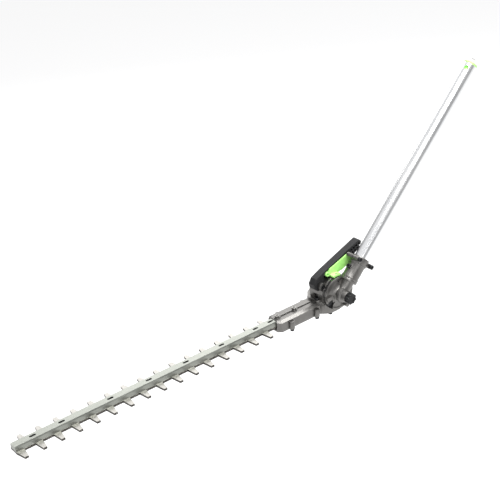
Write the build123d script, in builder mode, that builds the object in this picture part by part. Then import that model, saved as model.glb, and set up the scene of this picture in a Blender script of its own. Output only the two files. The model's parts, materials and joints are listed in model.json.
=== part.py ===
"""Pole hedge trimmer head: a clamp-on tube, a tilting gear head and a double-sided cutter bar.

Frame: millimetres, +Z up and square to the blades, +X from the blade tips towards the pole,
+Y along the tilt hinge. The origin is the centre of the tube's free end face. The tube rises
at pole_angle towards +X and +Z, and the head's tilt hinge crosses its axis pole_reach below.
"""
import os
from math import atan2, cos, hypot, pi, radians, sin

from build123d import *

os.makedirs("parts", exist_ok=True)

# ---- driving dimensions ------------------------------------------------------------------
pole_angle = 45.0            # the tube's rise above the blade plane, at rest
pole_reach = 491.0           # tilt hinge axis to the tube's free end
pole_radius = 13.0
pole_wall = 1.5
pole_offset = 42.7           # pole axis to the blades' centreline, along the hinge
hinge_height = 30.0          # hinge axis above the blades' meeting plane

tooth_pitch = 33.0
tooth_count = 16             # on each side of the cutter bar
tooth_reach = 30.8           # blade centreline to tooth tip
spine_half = 10.1            # blade centreline to the gullets
blade_thick = 2.0
stroke = 16.5                # each blade's travel
last_tooth = -157.0          # near-side tooth beside the gear case, from the crank axis

shaft_radius = 4.0
running = 0.05               # radial clearance of a turning fit
snug = 0.02                  # radial clearance of a fixed fit
seam = 31.5                  # blade centreline to the head's end face at the tilt joint
notch_step = 15.0            # degrees between tilt positions
drum_radius = 32.5

# ---- reference geometry ------------------------------------------------------------------
rise = Vector(cos(radians(pole_angle)), 0, sin(radians(pole_angle)))
side = Vector(-sin(radians(pole_angle)), 0, cos(radians(pole_angle)))
elbow = rise * -pole_reach                                    # pole axis meets hinge axis
head = elbow + Vector(0, pole_offset, 0)                      # crank axis meets hinge axis
crank_foot = head - Vector(0, 0, hinge_height)                # crank axis in the blade plane

pole_axis = Axis(elbow, rise)
hinge_axis = Axis(head, (0, -1, 0))

hinge_section = Plane(origin=head, x_dir=(1, 0, 0), z_dir=(0, 0, -1))    # x out, y to the knob


def on_pole(distance):
    """Plane across the pole; x is the upper side, y the knob side."""
    return Plane(origin=elbow + rise * distance, x_dir=side, z_dir=rise)


def on_hinge(distance):
    """Plane across the hinge axis, facing the knob; x along the blades, y up."""
    return Plane(origin=head - Vector(0, distance, 0), x_dir=(1, 0, 0), z_dir=(0, -1, 0))


def on_blade(height):
    """Plane parallel to the blades with its origin on the crank axis; x to the pole side."""
    return Plane(origin=crank_foot + Vector(0, 0, height), x_dir=(1, 0, 0), z_dir=(0, 0, 1))


def shape(plane, *points):
    """Closed straight-sided outline."""
    with BuildSketch(plane) as sketch:
        with BuildLine():
            Polyline(*points, close=True)
        make_face()
    return sketch.sketch


def disc(plane, radius, bore=0.0, places=((0, 0),)):
    """Round faces, or rings where a bore is given."""
    with BuildSketch(plane) as sketch:
        with Locations(*places):
            Circle(radius)
            if bore:
                Circle(bore, mode=Mode.SUBTRACT)
    return sketch.sketch


def block(plane, length, width, places=((0, 0),), rotation=0.0):
    """Rectangular faces."""
    with BuildSketch(plane) as sketch:
        with Locations(*places):
            Rectangle(length, width, rotation=rotation)
    return sketch.sketch


def polar(radius, angle):
    """Point on a circle in a plane's own x and y."""
    return (radius * cos(radians(angle)), radius * sin(radians(angle)))


written = []


def save(name, part):
    """Label a finished piece and write it."""
    part.label = name
    export_step(part, "parts/" + name + ".step")
    written.append(name)


# ==== pole ================================================================================
tube_seat = 47.0             # hinge axis to the tube's seated end
latch_back = 10.0            # latch hole's centre to the tube's free end
latch_radius = 4.25
latch_turn = 24.0            # degrees from the pole's upper side towards the knob side
depth_mark = 60.0            # insertion depth line, from the free end
mark_width = 1.2
mark_depth = 0.3
latch_out = side * cos(radians(latch_turn)) - Vector(0, sin(radians(latch_turn)), 0)
latch_centre = elbow + rise * (pole_reach - latch_back)
latch_plane = Plane(origin=latch_centre, x_dir=rise, z_dir=latch_out)

with BuildPart() as pole_tube:
    extrude(disc(on_pole(tube_seat), pole_radius, pole_radius - pole_wall), amount=pole_reach - tube_seat)
    extrude(disc(latch_plane, latch_radius), amount=pole_radius + 1, mode=Mode.SUBTRACT)
    extrude(
        disc(on_pole(pole_reach - depth_mark), pole_radius + 1, pole_radius - mark_depth),
        amount=mark_width,
        mode=Mode.SUBTRACT,
    )
save("pole_tube", pole_tube.part)

cap_rim = 4.0
cap_plug = 30.0
cap_bore = 5.6
pocket_depth = 3.0
plug_radius = pole_radius - pole_wall - snug
with BuildPart() as pole_end_cap:
    extrude(disc(on_pole(pole_reach), pole_radius), amount=cap_rim)
    extrude(disc(on_pole(pole_reach - cap_plug), plug_radius), amount=cap_plug)
    fillet(pole_end_cap.edges().group_by(SortBy.AREA)[-1].sort_by(pole_axis)[-1:], 1.0)
    extrude(disc(on_pole(pole_reach - cap_plug), cap_bore), amount=cap_plug + cap_rim, mode=Mode.SUBTRACT)
    pocket = Plane(origin=latch_centre + latch_out * (plug_radius - pocket_depth), z_dir=latch_out)
    extrude(disc(pocket, latch_radius), amount=pocket_depth + 1, mode=Mode.SUBTRACT)
save("pole_end_cap", pole_end_cap.part)

bush_length = 22.0
bush_places = (160.0, 330.0)
with BuildPart() as shaft_bushes:
    for place in bush_places:
        extrude(disc(on_pole(place), plug_radius, shaft_radius + running), amount=bush_length)
save("shaft_bushes", shaft_bushes.part)

# ==== tilt hinge, pole side ===============================================================
plate_gap = 0.5              # head's end face to the index plate
plate_thick = 2.2
plate_radius = 33.2
plate_back = seam + plate_gap + plate_thick
flange_face = plate_back + snug
spigot_radius = 14.0
spigot_end = 24.0
bearing_radius = 9.5
bearing_width = 6.0
neck_bearing_radius = 8.0
neck_bearing_width = 5.0
side_flat = seam + 0.3      # flat on the neck and collar that lets the gear case swing past
flat_end = tube_seat - 0.5
swing_radius = plate_radius + 1.4
hinge_bearing_at = 25.2
hub_radius = 14.0
boss_radius = 11.0
hub_end = pole_offset + 9.6
boss_end = 64.5
bush_radius = 6.0
chamber_radius = 10.0
neck_radius = 12.0
neck_end = 27.0
rim_radius = 16.5
rim_thick = 4.4
collar_end = 64.0
band_end = 77.0
neck_bearings_at = (12.2, 20.0)
pinion_room = 9.0
pinion_room_end = 11.6
lug_height = 8.5            # raised lug beside the flange's window

with BuildPart() as index_plate:
    extrude(disc(on_hinge(seam + plate_gap), plate_radius, spigot_radius + snug), amount=plate_thick)
    with BuildSketch(on_hinge(seam + plate_gap)):
        with PolarLocations(plate_radius, int(360 / notch_step)):
            Rectangle(6.4, 3.2)
    extrude(amount=plate_thick, mode=Mode.SUBTRACT)
    index_places = [polar(24.0, turn) for turn in (90, 210, 330)]
    index_holes = disc(on_hinge(seam + plate_gap), 2.1, places=index_places)
    extrude(index_holes, amount=plate_thick, mode=Mode.SUBTRACT)
save("index_plate", index_plate.part)

index_screw_length = 4.6


def clear_of_head():
    """Cut back whatever would meet the index plate, or the gear case as it swings past."""
    extrude(disc(on_hinge(0), swing_radius), amount=flange_face, mode=Mode.SUBTRACT)
    beyond = Plane(origin=elbow + Vector(0, pole_offset - side_flat, 0), x_dir=rise, z_dir=(0, 1, 0))
    extrude(block(beyond, 2 * flat_end, 60), amount=40, mode=Mode.SUBTRACT)


with BuildPart() as hinge_housing:
    extrude(disc(on_pole(0), neck_radius), amount=neck_end)
    extrude(disc(on_pole(neck_end), rim_radius), amount=rim_thick)
    extrude(disc(on_pole(neck_end + rim_thick), pole_radius), amount=tube_seat - neck_end - rim_thick - 0.3)
    clear_of_head()
    with BuildSketch(hinge_section):
        with BuildLine():
            Polyline(
                (0, spigot_end),
                (spigot_radius, spigot_end),
                (spigot_radius, flange_face),
                (33.0, flange_face),
                (33.0, flange_face + 4.6),
                (29.5, flange_face + 4.6),
                (28.0, flange_face + 3.2),
            )
            ThreePointArc(
                (28.0, flange_face + 3.2),
                (19.0, flange_face + 5.0),
                (hub_radius, pole_offset + 0.6),
            )
            Polyline(
                (hub_radius, pole_offset + 0.6),
                (hub_radius, hub_end),
                (boss_radius, hub_end + 1.6),
                (boss_radius, boss_end),
                (0, boss_end),
                (0, spigot_end),
            )
        make_face()
    revolve(axis=hinge_axis)
    extrude(disc(on_hinge(flange_face), 4.0, places=[polar(30.5, -66)]), amount=12.0)
    # window in the flange beside the gear case, with a raised lug above it
    window = shape(on_hinge(flange_face - 1), polar(hub_radius + 4, 208), polar(40, 200), polar(44, 218),
                   polar(40, 236), polar(hub_radius + 4, 230))
    extrude(window, amount=10.0, mode=Mode.SUBTRACT)
    lug = shape(on_hinge(flange_face), (-32.5, 2.0), (-14.0, 2.0), (-14.0, -10.5), (-20.0, -10.5),
                (-20.0, -4.5), (-32.0, -4.5))
    extrude(lug, amount=lug_height)
    # inside: spigot bearing seat, gear chamber, end bush seat, neck bearing seat
    extrude(disc(on_hinge(spigot_end), bearing_radius), amount=pole_offset - spigot_end, mode=Mode.SUBTRACT)
    extrude(disc(on_hinge(pole_offset - 9.0), chamber_radius), amount=19.2, mode=Mode.SUBTRACT)
    extrude(disc(on_hinge(pole_offset), bush_radius + snug), amount=30.0, mode=Mode.SUBTRACT)
    extrude(disc(on_pole(0), pinion_room), amount=pinion_room_end, mode=Mode.SUBTRACT)
    extrude(disc(on_pole(0), neck_bearing_radius), amount=tube_seat, mode=Mode.SUBTRACT)
    index_taps = disc(on_hinge(flange_face), 1.6, places=index_places)
    extrude(index_taps, amount=index_screw_length, mode=Mode.SUBTRACT)
    groove = disc(on_hinge(spigot_end + 0.8), spigot_radius + 1, spigot_radius - 0.8)
    extrude(groove, amount=1.2, mode=Mode.SUBTRACT)
save("hinge_housing", hinge_housing.part)

with BuildPart() as index_screws:
    extrude(disc(on_hinge(seam + plate_gap + 0.2), 2.0, places=index_places), amount=plate_thick - 0.2)
    extrude(disc(on_hinge(flange_face), 1.6 - snug, places=index_places), amount=index_screw_length - 0.6)
save("index_screws", index_screws.part)

with BuildPart() as spigot_ring:
    extrude(disc(on_hinge(spigot_end + 0.85), spigot_radius + 3.0, spigot_radius - 0.75), amount=1.1)
    ring_gap = block(on_hinge(spigot_end + 0.85), 20, 3, places=[(spigot_radius + 6, 0)])
    extrude(ring_gap, amount=1.1, mode=Mode.SUBTRACT)
save("spigot_ring", spigot_ring.part)


def ball_bearing(plane, outer, width, bore=shaft_radius + running):
    """One-piece ball bearing with a shield recess on each face."""
    groove_out = bore + (outer - bore) * 0.72
    groove_in = bore + (outer - bore) * 0.3
    extrude(disc(plane, outer - snug, bore), amount=width)
    extrude(disc(plane, groove_out, groove_in), amount=0.5, mode=Mode.SUBTRACT)
    extrude(disc(plane.offset(width - 0.5), groove_out, groove_in), amount=0.5, mode=Mode.SUBTRACT)


with BuildPart() as hinge_bearing:
    ball_bearing(on_hinge(hinge_bearing_at), bearing_radius, bearing_width)
save("hinge_bearing", hinge_bearing.part)

with BuildPart() as neck_bearings:
    for place in neck_bearings_at:
        ball_bearing(on_pole(place), neck_bearing_radius, neck_bearing_width)
save("neck_bearings", neck_bearings.part)

miter_back = 10.0
bush_start = pole_offset + miter_back + 0.2
with BuildPart() as hinge_bush:
    bush_run = boss_end - 1.7 - bush_start
    extrude(disc(on_hinge(bush_start), bush_radius, shaft_radius + running), amount=bush_run)
save("hinge_bush", hinge_bush.part)

# ==== collar and clamp ====================================================================
clamp_reach = 19.0           # pole axis to each clamp screw
clamp_boss = 4.6
clamp_split = 0.5            # half the gap between collar and cap
boss_low = -15.2
boss_high = 14.3
band_radius = 17.0
socket_radius = pole_radius + snug
locating_at = 51.0
locating_seat = 16.8         # locating screw's head, from the pole axis
clamp_places = [(clamp_reach, 0), (-clamp_reach, 0)]
band_middle = (collar_end + band_end) / 2


def across_band(distance):
    """Plane facing the knob at the middle of the clamp band; x is the pole's upper side."""
    return Plane(origin=elbow + rise * band_middle - Vector(0, distance, 0), x_dir=side, z_dir=(0, -1, 0))


def clamp_ears(start, length):
    """Round screw bosses joined to the band by a web."""
    extrude(disc(across_band(start), clamp_boss, places=clamp_places), amount=length)
    extrude(block(across_band(start), 2 * clamp_reach, 7.0), amount=length)


locating_plane = Plane(origin=elbow + rise * locating_at, x_dir=rise, z_dir=side)
with BuildPart() as pole_collar:
    rim_face = neck_end + rim_thick + 0.15
    extrude(disc(on_pole(rim_face), rim_radius), amount=4.6)
    extrude(disc(on_pole(rim_face + 4.6), 15.6), amount=collar_end - rim_face - 4.6)
    extrude(disc(on_pole(collar_end - 2.0), band_radius), amount=2.0)
    extrude(disc(on_pole(collar_end), band_radius), amount=band_end - collar_end)
    clamp_ears(boss_low, -boss_low)
    extrude(disc(locating_plane, 5.0), amount=locating_seat)
    clear_of_head()
    behind = elbow + rise * (collar_end + 0.3) - Vector(0, 20 - clamp_split, 0)
    half = Plane(origin=behind, z_dir=rise, x_dir=side)
    extrude(block(half, 80, 40), amount=band_end, mode=Mode.SUBTRACT)
    extrude(disc(on_pole(rim_face), socket_radius), amount=band_end, mode=Mode.SUBTRACT)
    extrude(disc(across_band(boss_low - 1), 2.55, places=clamp_places), amount=20, mode=Mode.SUBTRACT)
    extrude(disc(locating_plane, 2.05), amount=30, mode=Mode.SUBTRACT)
save("pole_collar", pole_collar.part)

with BuildPart() as clamp_cap:
    extrude(disc(on_pole(collar_end + 0.6), band_radius), amount=band_end - collar_end - 0.6)
    clamp_ears(clamp_split, boss_high - clamp_split)
    back = Plane(origin=elbow + rise * collar_end + Vector(0, 20 - clamp_split, 0), z_dir=rise, x_dir=side)
    extrude(block(back, 80, 40), amount=band_end, mode=Mode.SUBTRACT)
    extrude(disc(on_pole(collar_end), socket_radius), amount=20, mode=Mode.SUBTRACT)
    extrude(disc(across_band(-1), 2.55, places=clamp_places), amount=30, mode=Mode.SUBTRACT)
save("clamp_cap", clamp_cap.part)


def cap_screw(plane, places, head_radius, head_height, shank_radius, shank_length, socket=0.5):
    """Socket head screws: the plane is the seat, the head stands on it, the shank goes below."""
    extrude(disc(plane, head_radius, places=places), amount=head_height)
    extrude(disc(plane, shank_radius, places=places), amount=-shank_length)
    with BuildSketch(plane.offset(head_height)) as key:
        with Locations(*places):
            RegularPolygon(head_radius * socket, 6)
    extrude(key.sketch, amount=-head_height * 0.6, mode=Mode.SUBTRACT)


with BuildPart() as clamp_screws:
    cap_screw(across_band(boss_high), clamp_places, 4.3, 5.0, 2.5, boss_high - boss_low - 0.5)
save("clamp_screws", clamp_screws.part)

with BuildPart() as locating_screw:
    screw_run = locating_seat - pole_radius - 0.2
    cap_screw(locating_plane.offset(locating_seat), [(0, 0)], 4.2, 4.0, 2.0, screw_run)
save("locating_screw", locating_screw.part)

# ==== knob ================================================================================
knob_start = boss_end + 0.5
knob_length = 9.8
knob_radius = 10.8
knob_lobes = 8
stud_radius = bush_radius + snug - running
with BuildPart() as hinge_knob:
    with BuildSketch(on_hinge(knob_start)) as lobed:
        Circle(knob_radius)
        with PolarLocations(knob_radius + 2.6, knob_lobes):
            Circle(4.0, mode=Mode.SUBTRACT)
    extrude(lobed.sketch, amount=knob_length)
    chamfer(hinge_knob.faces().sort_by(hinge_axis)[-1].outer_wire().edges(), 1.6)
    extrude(disc(on_hinge(knob_start + knob_length), 5.0), amount=-1.0, mode=Mode.SUBTRACT)
    extrude(disc(on_hinge(knob_start), 4.0), amount=6.0, mode=Mode.SUBTRACT)
save("hinge_knob", hinge_knob.part)

with BuildPart() as knob_stud:
    extrude(disc(on_hinge(boss_end - 1.5), stud_radius), amount=knob_start - boss_end + 1.4)
    extrude(disc(on_hinge(knob_start - 0.2), 4.0 - snug), amount=5.8)
save("knob_stud", knob_stud.part)

# ==== bevel gears =========================================================================
pressure = radians(20)


def bevel_gear(frame, teeth, pitch_radius, mate_radius, face_width, hub, back, tooth_first):
    """Straight bevel gear. The frame's origin is the shared apex and its z runs to the gear's back.

    pitch_radius and mate_radius are the two gears' pitch radii at the wide end, and
    tooth_first puts a tooth, not a gap, on the frame's x.
    """
    module = 2 * pitch_radius / teeth
    cone = atan2(pitch_radius, mate_radius)
    far = hypot(pitch_radius, mate_radius)
    near = far - face_width
    addendum = 0.85 * module
    dedendum = 1.15 * module
    play = 0.22 * module
    rim = 0.6 * module

    def on_cone(distance, height):
        return (
            distance * sin(cone) + height * cos(cone),
            distance * cos(cone) - height * sin(cone),
        )

    shrink = near / far
    toe = on_cone(near, -(dedendum + rim * 0.2) * shrink)
    heel = on_cone(far, -(dedendum + rim))
    section_plane = Plane(origin=frame.origin, x_dir=frame.x_dir, z_dir=frame.x_dir.cross(frame.z_dir))
    blank = shape(
        section_plane,
        (shaft_radius + snug, toe[1]),
        toe,
        on_cone(near, addendum * shrink),
        on_cone(far, addendum),
        heel,
        (hub, heel[1]),
        (hub, back),
        (shaft_radius + snug, back),
    )
    revolve(blank, axis=Axis(frame.origin, frame.z_dir))

    along = frame.x_dir * sin(cone) + frame.z_dir * cos(cone)
    sections = []
    for distance in (near * 0.8, far * 1.15):
        scale = distance / far
        half_gap = (pi * module / 4 + play) * scale
        low = half_gap - dedendum * scale * sin(pressure) / cos(pressure)
        high = half_gap + 2 * addendum * scale * sin(pressure) / cos(pressure)
        plane = Plane(origin=frame.origin + along * distance, x_dir=frame.y_dir, z_dir=along)
        sections.append(
            shape(
                plane,
                (-low, dedendum * scale),
                (low, dedendum * scale),
                (high, -2 * addendum * scale),
                (-high, -2 * addendum * scale),
            )
        )
    cutter = loft(sections, ruled=True, mode=Mode.PRIVATE)
    step = 360 / teeth
    first = step / 2 if tooth_first else 0
    for index in range(teeth):
        turned = cutter.rotate(Axis(frame.origin, frame.z_dir), first + index * step)
        add(turned, mode=Mode.SUBTRACT)


# ==== drive line ==========================================================================
miter_radius = 7.5
miter_teeth = 12
miter_face = 3.6
pinion_radius = 9.0
pinion_teeth = 9
crown_radius = 20.0
crown_teeth = 20
crown_face = 6.0
drive_end = 13.5             # how far the square end stands out of the tube
square = 7.4

with BuildPart() as drive_shaft:
    extrude(disc(on_pole(5.4), shaft_radius), amount=pole_reach - 5.4 - 2.0)
    extrude(block(on_pole(pole_reach - 2.0), square, square, rotation=45), amount=drive_end + 2.0)
    chamfer(drive_shaft.faces().sort_by(pole_axis)[-1].edges(), 1.0)
save("drive_shaft", drive_shaft.part)

pinion_back = 10.3
with BuildPart() as drive_pinion:
    frame = Plane(origin=elbow, x_dir=(0, -1, 0), z_dir=rise)
    bevel_gear(frame, miter_teeth, miter_radius, miter_radius, miter_face, 5.6, pinion_back, False)
save("drive_pinion", drive_pinion.part)

with BuildPart() as thrust_washer:
    extrude(disc(on_pole(pinion_back + 0.3), 6.4, shaft_radius + running), amount=1.1)
save("thrust_washer", thrust_washer.part)

with BuildPart() as hinge_gear:
    frame = Plane(origin=elbow, x_dir=rise, z_dir=(0, -1, 0))
    bevel_gear(frame, miter_teeth, miter_radius, miter_radius, miter_face, 5.6, miter_back, True)
save("hinge_gear", hinge_gear.part)

shaft_in = 13.4
with BuildPart() as hinge_shaft:
    extrude(disc(on_hinge(shaft_in), shaft_radius), amount=boss_end - 1.9 - shaft_in)
    chamfer(hinge_shaft.edges().filter_by(GeomType.CIRCLE), 0.5)
save("hinge_shaft", hinge_shaft.part)

with BuildPart() as hinge_pinion:
    frame = Plane(origin=head, x_dir=(0, 0, -1), z_dir=(0, -1, 0))
    bevel_gear(frame, pinion_teeth, pinion_radius, crown_radius, crown_face, 5.6, 23.6, False)
save("hinge_pinion", hinge_pinion.part)

crown_back = 15.4            # underside of the crown gear's hub, above the blade plane
with BuildPart() as crank_gear:
    frame = Plane(origin=head, x_dir=(0, -1, 0), z_dir=(0, 0, -1))
    crown_drop = hinge_height - crown_back
    bevel_gear(frame, crown_teeth, crown_radius, pinion_radius, crown_face, 7.0, crown_drop, True)
save("crank_gear", crank_gear.part)

# ==== crank and connecting rods ===========================================================
throw = stroke / 2
cam_radius = throw + shaft_radius + 0.3
rod_low = 2.6                # blade plane to the rod's near face
rod_high = 6.2
rod_length = 45.0
rod_ring = cam_radius + 3.0
rod_eye = 6.0
rod_pin = 3.0
crank_top = 26.6
crank_bottom = -12.6

with BuildPart() as crank_shaft:
    extrude(disc(on_blade(crank_bottom), shaft_radius), amount=crank_top - crank_bottom)
    extrude(disc(on_blade(rod_low), cam_radius, places=[(throw, 0)]), amount=rod_high - rod_low)
    extrude(disc(on_blade(-rod_high), cam_radius, places=[(-throw, 0)]), amount=rod_high - rod_low)
save("crank_shaft", crank_shaft.part)

with BuildPart() as crank_nut:
    with BuildSketch(on_blade(23.9)) as hexagon:
        RegularPolygon(6.2, 6)
        Circle(shaft_radius + snug, mode=Mode.SUBTRACT)
    extrude(hexagon.sketch, amount=2.6)
save("crank_nut", crank_nut.part)


def connecting_rod(low, high, cam_x):
    """Flat rod: a ring round the cam, a shank towards the blades and a small eye."""
    eye_x = cam_x - rod_length
    with BuildSketch(on_blade(low)) as outline:
        with Locations((cam_x, 0)):
            Circle(rod_ring)
        with Locations((cam_x - rod_length / 2, 0)):
            Rectangle(rod_length, 8.0)
        with Locations((eye_x, 0)):
            Circle(rod_eye)
        with Locations((cam_x, 0)):
            Circle(cam_radius + running, mode=Mode.SUBTRACT)
        with Locations((eye_x, 0)):
            Circle(rod_pin + snug, mode=Mode.SUBTRACT)
    extrude(outline.sketch, amount=high - low)


with BuildPart() as upper_conrod:
    connecting_rod(rod_low + 0.1, rod_high - 0.1, throw)
save("upper_conrod", upper_conrod.part)

with BuildPart() as lower_conrod:
    connecting_rod(0.1 - rod_high, -rod_low - 0.1, -throw)
save("lower_conrod", lower_conrod.part)

upper_eye = throw - rod_length
lower_eye = -throw - rod_length
pin_run = rod_high - rod_low + 0.2
with BuildPart() as upper_rod_pin:
    extrude(disc(on_blade(rod_low), rod_pin, places=[(upper_eye, 0)]), amount=pin_run)
save("upper_rod_pin", upper_rod_pin.part)

with BuildPart() as lower_rod_pin:
    extrude(disc(on_blade(-rod_high - 0.2), rod_pin, places=[(lower_eye, 0)]), amount=pin_run)
save("lower_rod_pin", lower_rod_pin.part)

upper_bearing_at = 8.4
with BuildPart() as upper_crank_bearing:
    ball_bearing(on_blade(upper_bearing_at), bearing_radius, bearing_width)
save("upper_crank_bearing", upper_crank_bearing.part)

lower_bearing_radius = 8.0
lower_bearing_at = -12.8
with BuildPart() as lower_crank_bearing:
    ball_bearing(on_blade(lower_bearing_at), lower_bearing_radius, 5.0)
save("lower_crank_bearing", lower_crank_bearing.part)

# ==== blades ==============================================================================
blade_gap = 0.1              # half the play between the two blades
tooth_tip = 3.3              # half width of a tooth at its tip
tooth_root = 6.4             # half width of a tooth at the gullets
gullet_fillet = 8.0
tip_fillet = 1.8
first_tooth = last_tooth - (tooth_count - 1) * tooth_pitch
blade_end = first_tooth - 8.0
bolt_radius = 2.6
slot_half = bolt_radius + 0.4
bar_bolts_near = -170.0      # bar bolt nearest the gear case, from the crank axis
bar_bolt_pitch = 77.0
bar_bolt_tip = 53.0          # spacing of the two bolts at the bar's tip
case_bolt_places = [-119.0, -79.0]
bar_bolt_places = [bar_bolts_near - index * bar_bolt_pitch for index in range(5)]
bar_bolt_places.append(bar_bolt_places[-1] - 93.0)
bar_bolt_places.append(bar_bolt_places[-1] - bar_bolt_tip)
tail_radius = 7.0


def tooth(centre, way):
    """One tooth pointing to +y or -y."""
    return [
        (centre - tooth_root, way * (spine_half - 1.0)),
        (centre - tooth_root, way * spine_half),
        (centre - tooth_tip, way * tooth_reach),
        (centre + tooth_tip, way * tooth_reach),
        (centre + tooth_root, way * spine_half),
        (centre + tooth_root, way * (spine_half - 1.0)),
    ]


def blade(height, tail, near_teeth, far_teeth, slot_shift):
    """Flat reciprocating blade with teeth on both edges, bolt slots and a tail hole."""
    with BuildSketch(on_blade(height)) as outline:
        with BuildLine():
            Polyline(
                (blade_end, -spine_half),
                (tail, -spine_half),
                (tail, spine_half),
                (blade_end, spine_half),
                close=True,
            )
        make_face()
        for index in far_teeth:
            with BuildLine():
                Polyline(*tooth(last_tooth + (0.5 - index) * tooth_pitch, 1), close=True)
            make_face()
        for index in near_teeth:
            with BuildLine():
                Polyline(*tooth(last_tooth - index * tooth_pitch, -1), close=True)
            make_face()
        with BuildLine():
            Polyline(
                (blade_end, -spine_half + 1),
                (blade_end, -spine_half),
                (first_tooth - tooth_tip, -tooth_reach),
                (first_tooth + tooth_tip, -tooth_reach),
                (first_tooth + tooth_root, -spine_half),
                (first_tooth + tooth_root, -spine_half + 1),
                close=True,
            )
        make_face()
        corners = outline.vertices()
        tips = corners.filter_by(lambda corner: abs(abs(corner.Y - head.Y) - tooth_reach) < 0.1)
        fillet(tips, tip_fillet)
        roots = outline.vertices().filter_by(
            lambda corner: abs(abs(corner.Y - head.Y) - spine_half) < 0.1
            and head.X + blade_end + 2 < corner.X < head.X + last_tooth + tooth_pitch
        )
        fillet(roots, gullet_fillet)
        for place in bar_bolt_places + case_bolt_places:
            with Locations((place + slot_shift, 0)):
                SlotOverall(stroke + 2 * slot_half, 2 * slot_half, mode=Mode.SUBTRACT)
        with Locations((tail - tail_radius, 0)):
            Circle(rod_pin + running, mode=Mode.SUBTRACT)
    extrude(outline.sketch, amount=blade_thick)


with BuildPart() as upper_blade:
    blade(blade_gap, upper_eye + tail_radius, range(tooth_count - 1), range(tooth_count), stroke / 2)
save("upper_blade", upper_blade.part)

with BuildPart() as lower_blade:
    low_face = -blade_gap - blade_thick
    blade(low_face, lower_eye + tail_radius, range(tooth_count - 1), range(1, tooth_count), -stroke / 2)
save("lower_blade", lower_blade.part)

# ==== guide bar ===========================================================================
bar_base = blade_gap + blade_thick + 0.1
bar_top = 11.0
bar_top_half = 7.2
bar_base_half = 9.5
bar_wall = 2.0
nose_x = -130.0
nose_window = -135.5         # last window in the bar, just outside the nose
bar_tail = -60.0
nut_half = 4.2
window_length = 12.0
window_width = 5.2


def across_bar(x):
    """Plane across the cutter bar, facing the pole; x is towards -Y and y is up."""
    return Plane(origin=crank_foot + Vector(x, 0, 0), x_dir=(0, -1, 0), z_dir=(-1, 0, 0))


with BuildPart() as guide_bar:
    hat = shape(
        across_bar(bar_tail),
        (-bar_base_half, bar_base),
        (-bar_top_half - 1.2, bar_top - 2.2),
        (-bar_top_half, bar_top),
        (bar_top_half, bar_top),
        (bar_top_half + 1.2, bar_top - 2.2),
        (bar_base_half, bar_base),
        (bar_base_half - bar_wall, bar_base),
        (bar_top_half - bar_wall + 1.2, bar_top - bar_wall - 0.8),
        (bar_top_half - bar_wall, bar_top - bar_wall),
        (bar_wall - bar_top_half, bar_top - bar_wall),
        (bar_wall - bar_top_half - 1.2, bar_top - bar_wall - 0.8),
        (bar_wall - bar_base_half, bar_base),
    )
    extrude(hat, amount=bar_tail - blade_end)
    end_wall_face = shape(
        across_bar(blade_end),
        (-bar_base_half, bar_base),
        (-bar_top_half - 1.2, bar_top - 2.2),
        (-bar_top_half, bar_top),
        (bar_top_half, bar_top),
        (bar_top_half + 1.2, bar_top - 2.2),
        (bar_base_half, bar_base),
    )
    extrude(end_wall_face, amount=-bar_wall)
    with BuildSketch(on_blade(bar_top)) as windows:
        with Locations(*[(place, 0) for place in bar_bolt_places + [nose_window]]):
            SlotOverall(window_length, window_width)
    extrude(windows.sketch, amount=-bar_wall, mode=Mode.SUBTRACT)
    case_holes = disc(on_blade(bar_top), bolt_radius + 0.3, places=[(x, 0) for x in case_bolt_places])
    extrude(case_holes, amount=-bar_wall, mode=Mode.SUBTRACT)
save("guide_bar", guide_bar.part)

nut_places = [(place, 0) for place in bar_bolt_places]
with BuildPart() as bar_nuts:
    nut_height = bar_top - bar_wall - bar_base
    extrude(block(on_blade(bar_base), 12.0, 2 * nut_half, places=nut_places), amount=nut_height)
    extrude(disc(on_blade(bar_base), bolt_radius, places=nut_places), amount=5.0, mode=Mode.SUBTRACT)
save("bar_nuts", bar_nuts.part)

washer_face = -blade_gap - blade_thick - 0.1
with BuildPart() as bar_bolts:
    extrude(disc(on_blade(washer_face), 6.0, places=nut_places), amount=-1.2)
    extrude(disc(on_blade(washer_face - 1.2), 4.2, places=nut_places), amount=-2.6)
    shank = disc(on_blade(washer_face), bolt_radius - snug, places=nut_places)
    extrude(shank, amount=bar_base + 4.6 - washer_face)
    with BuildSketch(on_blade(washer_face - 3.8)) as keys:
        with Locations(*nut_places):
            RegularPolygon(2.2, 6)
    extrude(keys.sketch, amount=1.6, mode=Mode.SUBTRACT)
save("bar_bolts", bar_bolts.part)

# ==== gear case ===========================================================================
case_top = 12.5
case_split = 14.0            # gear case to head housing
case_floor = -6.8            # gear case to bottom cover
cover_bottom = -9.5
nose_half = 12.7
nose_bevel = 7.0             # length of the nose's slanted corners
shoulder = 9.0               # where the holder's sides start to slope in
plinth = 1.8                 # rib and bolt seats on the holder
rib_width = 3.4
screw_hole = 2.05
holder_half = 19.0
round_x = -5.0               # centre of the round case, from the crank axis
round_radius = 33.0
turret_radius = round_radius - 1.5
cavity_half = 15.5
case_cavity = 27.0
lug_radius = 5.2
lug_y = 20.5
lug_places = [(-102.0, -lug_y), (-42.0, -lug_y), (-102.0, lug_y), (-42.0, lug_y), (22.0, 24.0),
              (-12.0, 29.5), (-13.5, -25.4)]
lug_top = 6.0
web_low = 7.6
end_wall = 4.0


def case_outline(plane):
    """Plan of the holder and the round case, cut off flat at the tilt joint."""
    with BuildSketch(plane) as plan:
        with BuildLine():
            Polyline(
                (nose_x, -nose_half),
                (nose_x + nose_bevel, -holder_half),
                (0, -holder_half),
                (0, holder_half),
                (nose_x + nose_bevel, holder_half),
                (nose_x, nose_half),
                close=True,
            )
        make_face()
        with Locations((round_x, 0)):
            Circle(round_radius)
        with Locations((round_x, -seam - 20.0)):
            Rectangle(100, 40, mode=Mode.SUBTRACT)
    return plan.sketch


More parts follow.
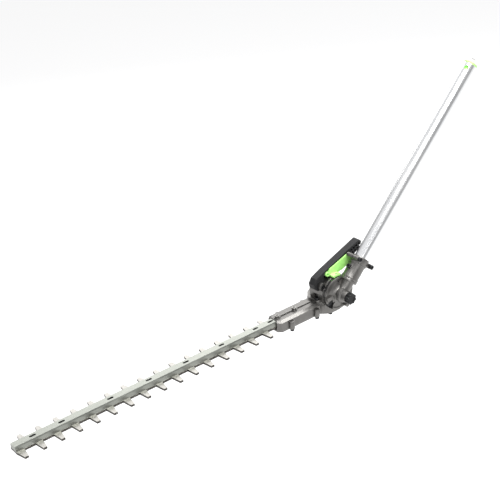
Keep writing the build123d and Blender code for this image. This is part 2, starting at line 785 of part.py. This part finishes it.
with BuildPart() as gear_case:
    extrude(case_outline(on_blade(case_floor)), amount=shoulder - case_floor)
    # sloped shoulder and flat top of the blade holder
    low_top = shape(on_blade(shoulder), (nose_x, -nose_half), (nose_x + nose_bevel, -holder_half),
                    (0, -holder_half), (0, holder_half), (nose_x + nose_bevel, holder_half),
                    (nose_x, nose_half))
    high_top = shape(on_blade(case_top), (nose_x + 3, -8.0), (nose_x + 9, -13.0), (0, -13.0),
                     (0, 13.0), (nose_x + 9, 13.0), (nose_x + 3, 8.0))
    loft([low_top, high_top], ruled=True)
    extrude(disc(on_blade(shoulder), turret_radius, places=[(round_x, 0)]), amount=case_split - shoulder)
    extrude(block(on_blade(case_top), 78.0, rib_width, places=[(-77.0, 0)]), amount=plinth)
    extrude(disc(on_blade(case_top), 6.2, places=[(x, 0) for x in case_bolt_places]), amount=plinth)
    extrude(disc(on_blade(case_floor), lug_radius, places=lug_places), amount=lug_top - case_floor)
    # lower part of the hinge drum
    extrude(disc(on_hinge(12.0), drum_radius), amount=seam - 12.0)
    with BuildSketch(on_hinge(-60.0)) as above:
        with Locations((0, case_split - hinge_height + 60.0)):
            Rectangle(120, 120)
    extrude(above.sketch, amount=120.0, mode=Mode.SUBTRACT)
    beyond_seam = block(on_blade(case_split), 120, 80, places=[(round_x, -seam - 40.0)])
    extrude(beyond_seam, amount=-60.0, mode=Mode.SUBTRACT)
    # room for the spigot's ring, rod chamber, bearing seat, bar channel
    extrude(disc(on_hinge(18.0), spigot_radius + 4.4), amount=seam - end_wall - 18.0, mode=Mode.SUBTRACT)
    extrude(disc(on_hinge(18.0), spigot_radius + running + 1), amount=20.0, mode=Mode.SUBTRACT)
    extrude(disc(on_blade(case_floor), case_cavity), amount=web_low - case_floor, mode=Mode.SUBTRACT)
    with BuildSketch(on_blade(case_floor)) as gallery:
        with Locations((-52.0, 0)):
            Rectangle(90.0, 2 * cavity_half)
    extrude(gallery.sketch, amount=web_low - case_floor, mode=Mode.SUBTRACT)
    extrude(disc(on_blade(web_low), bearing_radius), amount=10.0, mode=Mode.SUBTRACT)
    channel = shape(
        across_bar(bar_tail + 0.3),
        (-spine_half - 0.4, case_floor),
        (-spine_half - 0.4, bar_base),
        (-bar_base_half - 0.1, bar_base),
        (-bar_top_half - 1.3, bar_top - 2.1),
        (-bar_top_half - 0.1, bar_top + 0.1),
        (bar_top_half + 0.1, bar_top + 0.1),
        (bar_top_half + 1.3, bar_top - 2.1),
        (bar_base_half + 0.1, bar_base),
        (spine_half + 0.4, bar_base),
        (spine_half + 0.4, case_floor),
    )
    extrude(channel, amount=80.0, mode=Mode.SUBTRACT)
    extrude(disc(on_blade(0), bolt_radius + 0.3, places=[(x, 0) for x in case_bolt_places]), amount=30.0,
            mode=Mode.SUBTRACT)
    lug_holes = disc(on_blade(case_floor), screw_hole, places=lug_places)
    extrude(lug_holes, amount=10.0, mode=Mode.SUBTRACT)
save("gear_case", gear_case.part)

bowl_bottom = -14.0
with BuildPart() as bottom_cover:
    extrude(case_outline(on_blade(cover_bottom)), amount=case_floor - cover_bottom - snug)
    extrude(disc(on_blade(cover_bottom), lug_radius, places=lug_places),
            amount=case_floor - cover_bottom - snug)
    extrude(disc(on_blade(bowl_bottom), 28.4, places=[(-1.0, 0)]), amount=cover_bottom - bowl_bottom)
    bowl_edge = bottom_cover.edges().group_by(Axis.Z)[0]
    fillet(bowl_edge, 3.6)
    past_seam = block(on_blade(case_floor), 120, 80, places=[(round_x, -seam - 40.0)])
    extrude(past_seam, amount=-60.0, mode=Mode.SUBTRACT)
    extrude(disc(on_blade(lower_bearing_at), lower_bearing_radius), amount=10.0, mode=Mode.SUBTRACT)
    cover_holes = disc(on_blade(bowl_bottom), screw_hole, places=lug_places)
    extrude(cover_holes, amount=10.0, mode=Mode.SUBTRACT)
    head_room = disc(on_blade(cover_bottom), 4.4, places=lug_places)
    extrude(head_room, amount=-10.0, mode=Mode.SUBTRACT)
save("bottom_cover", bottom_cover.part)

under = Plane(origin=crank_foot + Vector(0, 0, cover_bottom), x_dir=(1, 0, 0), z_dir=(0, 0, -1))
screw_places = [(x, -y) for x, y in lug_places]
with BuildPart() as cover_screws:
    cap_screw(under, screw_places, 3.8, 4.4, 2.0, 8.0)
save("cover_screws", cover_screws.part)

case_bolt_seat = case_top + plinth
with BuildPart() as case_bolts:
    bolt_places = [(x, 0) for x in case_bolt_places]
    bolt_run = case_bolt_seat - case_floor - 0.6
    cap_screw(on_blade(case_bolt_seat), bolt_places, 4.4, 3.0, bolt_radius, bolt_run)
save("case_bolts", case_bolts.part)

# ==== head housing ========================================================================
drum_back = -11.5             # far end of the drum, beyond the blade centreline
drum_cavity = 27.5
ring_radius = 27.5
gear_room = 23.5             # radius of the crown gear's space
ring_top = 27.0
turret_step = 5.0
pad_height = 3.6             # screw pads on the turret
turret_screws_at = [(-31.0, -10.5), (-8.0, 28.5), (21.0, 17.5)]
pocket_turn = 146.0          # boss on the drum beside the handle, from the hinge plane's x
boss_at = polar(36.0, pocket_turn)
boss_back = 22.3
boss_front = 29.0

with BuildPart() as head_housing:
    extrude(disc(on_hinge(drum_back), drum_radius), amount=seam - drum_back)
    chamfer(head_housing.faces().sort_by(hinge_axis)[0].edges(), 3.0)
    extrude(disc(on_blade(case_split + snug), turret_radius, places=[(round_x, 0)]), amount=turret_step)
    raised_ring = disc(on_blade(case_split), ring_radius, places=[(round_x + 2.0, 0)])
    extrude(raised_ring, amount=ring_top - case_split)
    extrude(disc(on_blade(case_split + snug), 5.6, places=turret_screws_at), amount=pad_height)
    # raised ring beside the joint and the screw boss beside the handle
    extrude(disc(on_hinge(seam - 5.0), drum_radius + 0.6), amount=3.2)
    extrude(disc(on_hinge(boss_back), 7.8, places=[boss_at]), amount=boss_front - boss_back)
    extrude(block(on_hinge(boss_back), 16.0, 15.6, places=[polar(drum_radius - 5.0, pocket_turn)],
                  rotation=pocket_turn), amount=boss_front - boss_back)
    with BuildSketch(on_hinge(-60.0)) as below:
        with Locations((0, case_split + snug - hinge_height - 60.0)):
            Rectangle(160, 120)
    extrude(below.sketch, amount=130.0, mode=Mode.SUBTRACT)
    extrude(block(on_blade(case_split - 1), 120, 80, places=[(round_x, -seam - 40.0)]), amount=90.0,
            mode=Mode.SUBTRACT)
    extrude(disc(on_hinge(drum_back + end_wall), drum_cavity), amount=seam - drum_back - 2 * end_wall,
            mode=Mode.SUBTRACT)
    extrude(disc(on_hinge(seam - 10), spigot_radius + running), amount=20.0, mode=Mode.SUBTRACT)
    extrude(disc(on_blade(case_split), gear_room), amount=ring_top - 2.2 - case_split, mode=Mode.SUBTRACT)
    extrude(disc(on_hinge(boss_back + 2.4), 4.8, places=[boss_at]), amount=9.0, mode=Mode.SUBTRACT)
    extrude(disc(on_hinge(boss_back), 2.1, places=[boss_at]), amount=9.0, mode=Mode.SUBTRACT)
    extrude(disc(on_blade(case_split), 2.6, places=turret_screws_at), amount=6.0, mode=Mode.SUBTRACT)
    pockets = disc(on_blade(case_split + pad_height), 5.0, places=turret_screws_at)
    extrude(pockets, amount=14.0, mode=Mode.SUBTRACT)
save("head_housing", head_housing.part)

with BuildPart() as turret_screws:
    cap_screw(on_blade(case_split + pad_height + running), turret_screws_at, 4.4, 5.0, 2.5, pad_height - 0.2)
save("turret_screws", turret_screws.part)

# ==== handle ==============================================================================
grip_near = 22.0             # handle's near face, from the blade centreline
grip_far = 7.0
grip_slope = 20.8            # degrees above the blade plane, at rest
grip_heel = (-20.0, 45.5)    # where the straight back of the handle starts
grip_length = 98.0
grip_depth = 20.0
top_wall = 3.8
lean = Vector(cos(radians(grip_slope)), sin(radians(grip_slope)))
drop = Vector(sin(radians(grip_slope)), -cos(radians(grip_slope)))
drum_clear = drum_radius + 0.3


def on_grip(along, below):
    """Point of the handle in the hinge plane's x and y: along its back, and below it."""
    place = Vector(*grip_heel) + lean * along + drop * below
    return (place.X, place.Y)


pivot = (-13.0, 39.0)        # trigger pivot in the hinge plane
pin_radius = 2.0
cell_start = 68.0
cell_pitch = 6.6
cell_rows = (4.2, 10.8)
with BuildPart() as handle:
    with BuildSketch(on_hinge(grip_far)) as outline:
        with BuildLine():
            Polyline(on_grip(0, 0), on_grip(grip_length - 5, 0))
            ThreePointArc(
                on_grip(grip_length - 5, 0),
                on_grip(grip_length - 0.5, 3.0),
                on_grip(grip_length, 8.0),
            )
            Polyline(on_grip(grip_length, 8.0), on_grip(grip_length - 8, 16.5), on_grip(58, grip_depth),
                     on_grip(10, grip_depth), (-2.0, 33.4), (-20.0, 27.0), (-30.5, 13.0), (-36.5, 12.0),
                     (-44.0, 18.0), (-45.5, 27.0), (-39.0, 37.0), on_grip(0, 0))
        make_face()
        Circle(drum_clear, mode=Mode.SUBTRACT)
    extrude(outline.sketch, amount=grip_near - grip_far)
    fillet(handle.edges().filter_by(Axis.Y).sort_by(Axis.Z)[-2:], 1.0)
    # open underside where the trigger swings
    swing = shape(on_hinge(grip_far + 3.2), on_grip(3, top_wall), on_grip(cell_start - 1, top_wall),
                  on_grip(cell_start - 1, 40), on_grip(-7, 40), on_grip(-5, 9))
    extrude(swing, amount=30.0, mode=Mode.SUBTRACT)
    for row in cell_rows:
        for index in range(4):
            corner = cell_start + 1.6 + index * cell_pitch
            low = row + 4.8 - 0.55 * index * (1 if row > 6 else 0)
            cell = shape(on_hinge(grip_near), on_grip(corner, row), on_grip(corner + 4.8, row),
                         on_grip(corner + 4.8, low), on_grip(corner, low))
            extrude(cell, amount=-12.0, mode=Mode.SUBTRACT)
    extrude(disc(on_hinge(grip_near), 1.7, places=[boss_at]), amount=-14.0, mode=Mode.SUBTRACT)
    extrude(disc(on_hinge(grip_far), pin_radius + snug, places=[pivot]), amount=4.0, mode=Mode.SUBTRACT)
save("handle", handle.part)

with BuildPart() as handle_screw:
    cap_screw(on_hinge(boss_back + 2.4), [boss_at], 4.4, 4.0, 1.7 - snug, 15.0)
save("handle_screw", handle_screw.part)

# ==== trigger =============================================================================
lever_near = 25.0
lever_far = 11.0
cheek_start = grip_near + 0.3  # the trigger's cheek covers the handle's open side
foot_near = 35.6
foot_inner = plate_radius + 1.0
foot_outer = foot_inner + 4.0
coil_radius = 3.2
coil_room = 4.6
coil_wire = 0.45
with BuildPart() as trigger:
    with BuildSketch(on_hinge(lever_far)) as lever:
        with BuildLine():
            Polyline(on_grip(10, 4.6), on_grip(60, 10.6), on_grip(65, 14.0), on_grip(64, 24.0),
                     on_grip(36, 24.0), (0.0, 33.0), (-14.0, 35.0), on_grip(10, 4.6))
        make_face()
        with Locations(pivot):
            Circle(4.4)
        Circle(foot_inner, mode=Mode.SUBTRACT)
        with Locations(pivot):
            Circle(pin_radius + running, mode=Mode.SUBTRACT)
    extrude(lever.sketch, amount=lever_near - lever_far)
    cheek = shape(on_hinge(cheek_start), on_grip(12, 2.5), on_grip(58, 4.5), on_grip(65, 14.0),
                  on_grip(40, 18.0), on_grip(10, 8.0))
    extrude(cheek, amount=lever_near - cheek_start)
    with BuildSketch(on_hinge(lever_far)) as foot:
        with BuildLine():
            Polyline((0, 0), polar(60, 77), polar(60, 104), close=True)
        make_face()
        Circle(foot_outer, mode=Mode.INTERSECT)
        Circle(foot_inner, mode=Mode.SUBTRACT)
    extrude(foot.sketch, amount=foot_near - lever_far)
    extrude(block(on_hinge(seam + plate_gap - 0.3), 3.0, 12.0, places=[(0, foot_inner + 1.5)]), amount=2.8,
            mode=Mode.SUBTRACT)
    coil_pocket = disc(on_hinge(lever_far), coil_radius + 1.4, places=[pivot])
    extrude(coil_pocket, amount=coil_room, mode=Mode.SUBTRACT)
save("trigger", trigger.part)

pawl_gap = 0.4               # the pawl is drawn lifted clear of the index plate
with BuildPart() as index_pawl:
    low = plate_radius + pawl_gap
    extrude(block(on_hinge(seam + plate_gap - 0.25), 2.9, foot_outer + 1.2 - low,
                  places=[(0, (foot_outer + 1.2 + low) / 2)]), amount=2.7)
save("index_pawl", index_pawl.part)

with BuildPart() as trigger_pin:
    extrude(disc(on_hinge(grip_far + 0.4), pin_radius, places=[pivot]), amount=grip_near - grip_far - 0.6)
save("trigger_pin", trigger_pin.part)

coil_centre = head + Vector(pivot[0], -(lever_far + 0.9), pivot[1])
with BuildPart() as trigger_spring:
    with BuildLine() as coil:
        Helix(pitch=1.1, height=3.0, radius=coil_radius, center=coil_centre, direction=(0, -1, 0))
    with BuildSketch(Plane(origin=coil.line @ 0, z_dir=coil.line % 0)):
        Circle(coil_wire)
    sweep(is_frenet=True)
save("trigger_spring", trigger_spring.part)

print(len(written), "sub-parts written")
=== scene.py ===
"""Looks of the tilting hedge trimmer head: materials, softened edges, light and camera."""
import json
from math import cos, radians, sin

import bpy
from mathutils import Matrix, Vector


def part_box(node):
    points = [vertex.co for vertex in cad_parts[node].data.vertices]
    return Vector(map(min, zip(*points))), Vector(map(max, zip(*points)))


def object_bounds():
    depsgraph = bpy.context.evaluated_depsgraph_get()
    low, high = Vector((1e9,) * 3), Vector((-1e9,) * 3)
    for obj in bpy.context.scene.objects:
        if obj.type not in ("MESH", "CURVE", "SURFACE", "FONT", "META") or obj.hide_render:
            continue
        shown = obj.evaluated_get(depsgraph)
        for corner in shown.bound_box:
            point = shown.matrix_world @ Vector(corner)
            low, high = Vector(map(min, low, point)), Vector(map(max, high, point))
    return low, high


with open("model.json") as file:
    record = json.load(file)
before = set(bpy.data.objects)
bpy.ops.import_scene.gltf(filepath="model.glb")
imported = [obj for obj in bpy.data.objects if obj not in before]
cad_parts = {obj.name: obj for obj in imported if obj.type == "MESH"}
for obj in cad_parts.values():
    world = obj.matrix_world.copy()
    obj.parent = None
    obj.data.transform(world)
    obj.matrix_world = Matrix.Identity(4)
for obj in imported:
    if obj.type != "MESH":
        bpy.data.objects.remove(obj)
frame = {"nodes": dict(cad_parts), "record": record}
cad_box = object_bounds()
nodes = frame["nodes"]


# ---- camera --------------------------------------------------------------------------------
def add_camera():
    """Long lens from the knob side, a little above the blades and rolled a few degrees."""
    azimuth, elevation, roll = radians(-35.145), radians(27.024), radians(-5.637)
    place = Vector((-1.51025, -1.37532, 0.67667))
    ahead = Vector((-sin(azimuth) * cos(elevation), cos(azimuth) * cos(elevation), -sin(elevation)))
    right = Vector((cos(azimuth), sin(azimuth), 0))
    up = right.cross(ahead)
    turned_right = right * cos(roll) + up * sin(roll)
    turned_up = up * cos(roll) - right * sin(roll)
    rotation = Matrix((turned_right, turned_up, -ahead)).transposed().to_4x4()
    data = bpy.data.cameras.new("camera")
    data.sensor_width = 36.0
    data.lens = 80.23
    camera = bpy.data.objects.new("camera", data)
    bpy.context.scene.collection.objects.link(camera)
    camera.matrix_world = Matrix.Translation(place) @ rotation
    bpy.context.scene.camera = camera


add_camera()


# ---- light and floor -----------------------------------------------------------------------
def add_world():
    """White studio surround, a little darker near the horizon and below it."""
    world = bpy.data.worlds.new("studio")
    bpy.context.scene.world = world
    world.use_nodes = True
    tree = world.node_tree
    coords = tree.nodes.new("ShaderNodeTexCoord")
    parts = tree.nodes.new("ShaderNodeSeparateXYZ")
    tree.links.new(coords.outputs["Generated"], parts.inputs[0])
    ramp = tree.nodes.new("ShaderNodeValToRGB")
    height = tree.nodes.new("ShaderNodeMapRange")
    height.inputs["From Min"].default_value = -1.0
    tree.links.new(parts.outputs["Z"], height.inputs["Value"])
    tree.links.new(height.outputs["Result"], ramp.inputs["Fac"])
    shades = ((0.0, 0.45), (0.5, 0.48), (0.70, 0.52), (0.82, 0.95), (1.0, 1.0))
    for index, (place, grey) in enumerate(shades):
        stop = ramp.color_ramp.elements[index] if index < 2 else ramp.color_ramp.elements.new(place)
        stop.position = place
        stop.color = (grey, grey, grey * 1.01, 1)
    background = tree.nodes["Background"]
    background.inputs["Strength"].default_value = 0.9
    tree.links.new(ramp.outputs["Color"], background.inputs["Color"])


def add_softbox(name, place, target, width, height, watts):
    """Rectangular white light aimed at the target, out of the camera's sight."""
    data = bpy.data.lights.new(name, "AREA")
    data.shape = "RECTANGLE"
    data.size = width
    data.size_y = height
    data.energy = watts
    light = bpy.data.objects.new(name, data)
    bpy.context.scene.collection.objects.link(light)
    light.location = place
    light.visible_camera = False
    light.rotation_euler = (target - place).to_track_quat("-Z", "Y").to_euler()


def add_floor(drop):
    """Plain pale floor below the object, faintly lit from behind so that it stays white far off."""
    low = cad_box[0][2] - drop
    half = 14.0
    corners = [(-half, -half, low), (half, -half, low), (half, half, low), (-half, half, low)]
    mesh = bpy.data.meshes.new("floor")
    mesh.from_pydata(corners, [], [(0, 1, 2, 3)])
    floor = bpy.data.objects.new("floor", mesh)
    bpy.context.scene.collection.objects.link(floor)
    pale = bpy.data.materials.new("floor")
    pale.use_nodes = True
    shader = pale.node_tree.nodes["Principled BSDF"]
    shader.inputs["Base Color"].default_value = (0.42, 0.42, 0.42, 1)
    shader.inputs["Roughness"].default_value = 0.9
    shader.inputs["Specular IOR Level"].default_value = 0.1
    shader.inputs["Emission Color"].default_value = (1, 1, 1, 1)
    shader.inputs["Emission Strength"].default_value = 0.58
    mesh.materials.append(pale)


head_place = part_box("head_housing")[0].lerp(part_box("head_housing")[1], 0.5)
bar_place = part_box("guide_bar")[0].lerp(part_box("guide_bar")[1], 0.5)
add_world()
add_softbox("overhead", head_place + Vector((0.25, -0.55, 1.85)), head_place, 2.4, 1.5, 84)
add_softbox("front", head_place + Vector((-1.4, -2.4, 0.9)), head_place, 0.8, 1.2, 12)
add_softbox("back", bar_place + Vector((1.35, 1.95, 1.3)), bar_place, 2.6, 1.3, 27)
add_floor(0.45)
bpy.context.scene.view_settings.view_transform = "Standard"


# ---- material helpers ----------------------------------------------------------------------
class Surface:
    """A principled material whose textures sit in the part's own coordinates, in metres."""

    def __init__(self, name, metallic=0.0, specular=0.5, anisotropic=0.0):
        self.material = bpy.data.materials.new(name)
        self.material.use_nodes = True
        self.tree = self.material.node_tree
        self.shader = self.tree.nodes["Principled BSDF"]
        self.shader.inputs["Metallic"].default_value = metallic
        self.shader.inputs["Specular IOR Level"].default_value = specular
        self.shader.inputs["Anisotropic"].default_value = anisotropic
        self.coords = self.tree.nodes.new("ShaderNodeTexCoord").outputs["Object"]
        self.normal = None

    def link(self, source, target):
        """Join an output to an input."""
        self.tree.links.new(source, target)

    def noise(self, size, detail=3.0, stretch=(1, 1, 1), turn=0.0):
        """Cloudy pattern with features about `size` metres across; stretch lengthens them."""
        mapping = self.tree.nodes.new("ShaderNodeMapping")
        spin = self.tree.nodes.new("ShaderNodeMapping")
        spin.inputs["Rotation"].default_value = (0, turn, 0)
        mapping.inputs["Scale"].default_value = [1 / (size * factor) for factor in stretch]
        texture = self.tree.nodes.new("ShaderNodeTexNoise")
        texture.inputs["Scale"].default_value = 1.0
        texture.inputs["Detail"].default_value = detail
        texture.inputs["Roughness"].default_value = 0.55
        self.link(self.coords, spin.inputs["Vector"])
        self.link(spin.outputs["Vector"], mapping.inputs["Vector"])
        self.link(mapping.outputs["Vector"], texture.inputs["Vector"])
        return texture.outputs["Fac"]

    def span(self, value, low, high, start=0.3, end=0.7):
        """Stretch a value between start and end onto low to high."""
        node = self.tree.nodes.new("ShaderNodeMapRange")
        node.inputs["From Min"].default_value = start
        node.inputs["From Max"].default_value = end
        node.inputs["To Min"].default_value = low
        node.inputs["To Max"].default_value = high
        self.link(value, node.inputs["Value"])
        return node.outputs["Result"]

    def blend(self, value, first, second):
        """Mix two colours, each a tuple or another node's output."""
        node = self.tree.nodes.new("ShaderNodeMix")
        node.data_type = "RGBA"
        self.link(value, node.inputs["Factor"])
        for socket, colour in ((node.inputs[6], first), (node.inputs[7], second)):
            if isinstance(colour, tuple):
                socket.default_value = (*colour, 1)
            else:
                self.link(colour, socket)
        return node.outputs[2]

    def add(self, first, second):
        """Sum of two values."""
        node = self.tree.nodes.new("ShaderNodeMath")
        node.operation = "ADD"
        self.link(first, node.inputs[0])
        self.link(second, node.inputs[1])
        return node.outputs[0]

    def upright(self):
        """1 on faces that stand square to the blades, 0 on those parallel to them."""
        parts = self.tree.nodes.new("ShaderNodeSeparateXYZ")
        flat = self.tree.nodes.new("ShaderNodeMath")
        flat.operation = "ABSOLUTE"
        self.link(self.tree.nodes["Texture Coordinate"].outputs["Normal"], parts.inputs[0])
        self.link(parts.outputs["Z"], flat.inputs[0])
        return self.span(flat.outputs[0], 1.0, 0.0, 0.15, 0.6)

    def edges(self, radius, strength):
        """1 on edges sharper than the radius, 0 on flats: where handling and casting flash wear."""
        rounded = self.tree.nodes.new("ShaderNodeBevel")
        rounded.samples = 4
        rounded.inputs["Radius"].default_value = radius
        geometry = self.tree.nodes.new("ShaderNodeNewGeometry")
        dot = self.tree.nodes.new("ShaderNodeVectorMath")
        dot.operation = "DOT_PRODUCT"
        self.link(rounded.outputs["Normal"], dot.inputs[0])
        self.link(geometry.outputs["Normal"], dot.inputs[1])
        return self.span(dot.outputs["Value"], strength, 0.0, 0.80, 0.98)

    def bump(self, height, distance, strength):
        """Add relief; distance is its depth in metres."""
        node = self.tree.nodes.new("ShaderNodeBump")
        node.inputs["Strength"].default_value = strength
        node.inputs["Distance"].default_value = distance
        self.link(height, node.inputs["Height"])
        if self.normal:
            self.link(self.normal, node.inputs["Normal"])
        self.normal = node.outputs["Normal"]

    def done(self, colour, roughness):
        """Wire colour, roughness and relief to the shader and return the material."""
        self.link(colour, self.shader.inputs["Base Color"])
        self.link(roughness, self.shader.inputs["Roughness"])
        if self.normal:
            self.link(self.normal, self.shader.inputs["Normal"])
        return self.material


# ---- materials -----------------------------------------------------------------------------
def polished_tube():
    """Drawn and anodised aluminium tube: fine lines along it, faint handling marks."""
    s = Surface("tube_aluminium", metallic=1.0, anisotropic=0.35)
    lines = s.noise(0.0006, 2, stretch=(60, 1, 1), turn=radians(45))
    marks = s.noise(0.03, 4, stretch=(3, 1, 1), turn=radians(45))
    colour = s.blend(s.span(marks, 0, 1), (0.80, 0.81, 0.82), (0.88, 0.885, 0.885))
    s.bump(lines, 0.00001, 0.5)
    return s.done(colour, s.add(s.span(lines, 0.13, 0.19), s.span(marks, 0.0, 0.06)))


def cast_alloy():
    """Die-cast aluminium, shot blasted: fine grain, cloudy tone, brighter edges."""
    s = Surface("cast_aluminium", metallic=0.95)
    grain = s.noise(0.0007, 3)
    cloud = s.noise(0.018, 4)
    tone = s.blend(s.span(cloud, 0, 1), (0.125, 0.121, 0.115), (0.165, 0.16, 0.152))
    tone = s.blend(s.span(grain, 0, 0.35), tone, (0.225, 0.219, 0.211))
    colour = s.blend(s.edges(0.0006, 0.6), tone, (0.50, 0.495, 0.48))
    s.bump(grain, 0.00006, 0.55)
    s.bump(cloud, 0.0004, 0.25)
    return s.done(colour, s.add(s.span(grain, 0.29, 0.41), s.span(cloud, -0.04, 0.05)))


def lime_plastic():
    """Moulded lime green plastic with a fine spark texture."""
    s = Surface("lime_plastic", specular=0.45)
    grain = s.noise(0.00045, 2)
    cloud = s.noise(0.012, 3)
    colour = s.blend(s.span(cloud, 0, 1), (0.36, 0.80, 0.19), (0.42, 0.86, 0.23))
    colour = s.blend(s.edges(0.0005, 0.35), colour, (0.52, 0.92, 0.32))
    s.bump(grain, 0.00003, 0.35)
    return s.done(colour, s.span(grain, 0.34, 0.46))


def black_plastic(name, dark, light, rough):
    """Glass-filled black plastic: matt, finely textured, greyer where it is handled."""
    s = Surface(name, specular=0.28)
    grain = s.noise(0.0005, 3)
    cloud = s.noise(0.015, 3)
    colour = s.blend(s.span(cloud, 0, 1), dark, light)
    colour = s.blend(s.edges(0.0006, 0.5), colour, tuple(3.0 * part for part in light))
    s.bump(grain, 0.00005, 0.5)
    texture = s.span(grain, rough - 0.05, rough + 0.08)
    return s.done(colour, s.add(texture, s.span(cloud, -0.03, 0.04)))


def blade_steel():
    """Stamped and ground blade steel: grinding lines across the bar, darker oil-stained patches, and
    painted shade on the faces that stand upright to the blades.
    """
    s = Surface("blade_steel", metallic=1.0)
    lines = s.noise(0.0005, 2, stretch=(1, 30, 1))
    stain = s.noise(0.02, 4)
    tone = s.blend(s.span(stain, 0, 1), (0.32, 0.31, 0.29), (0.42, 0.41, 0.385))
    # Painted shade: faces standing square to the blades (tooth tips and blade sides) are darkened almost
    # to black.
    tone = s.blend(s.upright(), tone, (0.055, 0.05, 0.045))
    colour = s.blend(s.edges(0.00025, 0.4), tone, (0.6, 0.59, 0.57))
    s.bump(lines, 0.00002, 0.5)
    return s.done(colour, s.add(s.span(lines, 0.26, 0.38), s.span(stain, -0.03, 0.08)))


def bar_metal():
    """Rolled guide bar with a faintly green passivated skin and lines along its length."""
    s = Surface("bar_metal", metallic=0.95)
    lines = s.noise(0.0007, 2, stretch=(50, 1, 1))
    cloud = s.noise(0.03, 4, stretch=(2, 1, 1))
    tone = s.blend(s.span(cloud, 0, 1), (0.25, 0.26, 0.235), (0.31, 0.32, 0.29))
    colour = s.blend(s.edges(0.0006, 0.6), tone, (0.62, 0.64, 0.60))
    s.bump(lines, 0.00003, 0.4)
    return s.done(colour, s.add(s.span(lines, 0.28, 0.38), s.span(cloud, -0.03, 0.05)))


def turned_steel(name, dark, light, rough):
    """Machined steel with an oil film: fine tool marks and cloudy tint."""
    s = Surface(name, metallic=1.0)
    marks = s.noise(0.0004, 2)
    film = s.noise(0.006, 3)
    colour = s.blend(s.span(film, 0, 1), dark, light)
    colour = s.blend(s.edges(0.0003, 0.5), colour, tuple(1.4 * part for part in light))
    s.bump(marks, 0.00001, 0.4)
    polish = s.span(marks, rough - 0.04, rough + 0.04)
    return s.done(colour, s.add(polish, s.span(film, -0.03, 0.06)))


def black_oxide():
    """Black oxide screws: dark satin steel, bare at the socket's edges."""
    s = Surface("black_oxide", metallic=0.6)
    grain = s.noise(0.0004, 2)
    cloud = s.noise(0.004, 3)
    colour = s.blend(s.span(cloud, 0, 1), (0.012, 0.012, 0.013), (0.03, 0.03, 0.032))
    colour = s.blend(s.edges(0.0003, 0.5), colour, (0.16, 0.16, 0.165))
    s.bump(grain, 0.00002, 0.4)
    return s.done(colour, s.span(grain, 0.34, 0.48))


def bronze():
    """Sintered bronze bush: porous, oil dark in the pores."""
    s = Surface("sintered_bronze", metallic=1.0)
    pores = s.noise(0.0004, 3)
    cloud = s.noise(0.005, 3)
    colour = s.blend(s.span(pores, 0, 1), (0.36, 0.22, 0.09), (0.66, 0.45, 0.20))
    s.bump(pores, 0.00004, 0.5)
    return s.done(colour, s.span(cloud, 0.35, 0.5))


finishes = {
    "tube": polished_tube(),
    "cast_alloy": cast_alloy(),
    "lime_plastic": lime_plastic(),
    "black_plastic": black_plastic("black_plastic", (0.009, 0.009, 0.0095), (0.014, 0.014, 0.0148), 0.5),
    "knob_plastic": black_plastic("knob_plastic", (0.007, 0.007, 0.0075), (0.012, 0.012, 0.013), 0.42),
    "blade_steel": blade_steel(),
    "bar_metal": bar_metal(),
    "bright_steel": turned_steel("bright_steel", (0.46, 0.46, 0.47), (0.60, 0.60, 0.61), 0.25),
    "plated_screws": turned_steel("zinc_plate", (0.20, 0.195, 0.185), (0.29, 0.285, 0.27), 0.38),
    "gear_steel": turned_steel("gear_steel", (0.24, 0.24, 0.25), (0.36, 0.36, 0.37), 0.28),
    "drive_steel": turned_steel("drive_steel", (0.22, 0.215, 0.21), (0.33, 0.325, 0.31), 0.32),
    "black_screws": black_oxide(),
    "bronze": bronze(),
}
slot_of = {part["node"]: part["material_slot"] for part in frame["record"]["subparts"]}
for node, piece in nodes.items():
    piece.data.materials.clear()
    piece.data.materials.append(finishes[slot_of[node]])


# ---- softened edges ------------------------------------------------------------------------
def soften(node, width, segments=2):
    """Round a CAD piece's sharp edges inwards: join its facets, then bevel what stays sharp."""
    piece = nodes[node]
    weld = piece.modifiers.new("join", "WELD")
    weld.merge_threshold = 1e-6
    flat = piece.modifiers.new("flats", "DECIMATE")
    flat.decimate_type = "DISSOLVE"
    flat.angle_limit = radians(0.6)
    bevel = piece.modifiers.new("edges", "BEVEL")
    bevel.width = width
    bevel.segments = segments
    bevel.limit_method = "ANGLE"
    bevel.angle_limit = radians(28)
    bevel.harden_normals = True


castings = ("gear_case", "head_housing", "hinge_housing", "pole_collar", "clamp_cap", "bottom_cover")
mouldings = ("handle", "trigger", "hinge_knob")
screws = (
    "clamp_screws",
    "locating_screw",
    "turret_screws",
    "handle_screw",
    "cover_screws",
    "case_bolts",
    "bar_bolts",
)
for node in castings:
    soften(node, 0.0005)
for node in mouldings:
    soften(node, 0.0006)
soften("guide_bar", 0.0011, 3)
for node in screws + ("upper_blade", "lower_blade", "drive_shaft", "pole_end_cap"):
    soften(node, 0.0003)
